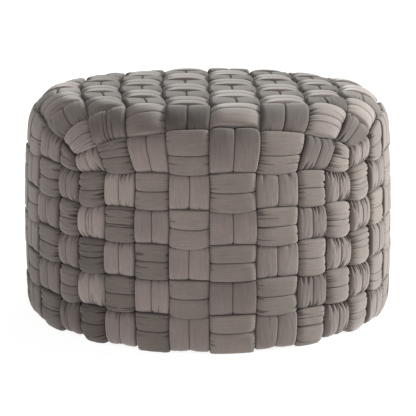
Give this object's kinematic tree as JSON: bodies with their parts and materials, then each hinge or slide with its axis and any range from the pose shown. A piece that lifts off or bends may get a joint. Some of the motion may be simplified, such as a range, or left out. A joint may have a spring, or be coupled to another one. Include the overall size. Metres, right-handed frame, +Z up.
{
  "type": "woven pouf",
  "caption": "Round floor pouf woven from wide padded velvet bands that run over the top and round the side, with a plain flat base.",
  "frame": {"origin": "centre of the footprint, on the floor", "axes": "+Z up, +Y towards the back, +X to the right as seen from the front"},
  "size_m": [0.7638, 0.7634, 0.4579],
  "materials": {
    "upright_velvet": "taupe velvet, matt with a soft sheen",
    "hoop_velvet": "taupe velvet, matt with a soft sheen",
    "base_cloth": "plain woven cloth, matt"
  },
  "bodies": {
    "root": {"filled_body": "base_cloth", "front_back_band_1": "upright_velvet", "left_right_band_1": "upright_velvet", "front_back_band_2": "upright_velvet", "left_right_band_2": "upright_velvet", "front_back_band_3": "upright_velvet", "left_right_band_3": "upright_velvet", "front_back_band_4": "upright_velvet", "left_right_band_4": "upright_velvet", "front_back_band_5": "upright_velvet", "left_right_band_5": "upright_velvet", "front_back_band_6": "upright_velvet", "left_right_band_6": "upright_velvet", "front_back_band_7": "upright_velvet", "left_right_band_7": "upright_velvet", "front_back_band_8": "upright_velvet", "left_right_band_8": "upright_velvet", "hoop_1": "hoop_velvet", "hoop_2": "hoop_velvet", "hoop_3": "hoop_velvet", "hoop_4": "hoop_velvet", "hoop_5": "hoop_velvet", "hoop_6": "hoop_velvet"}
  },
  "joints": []
}
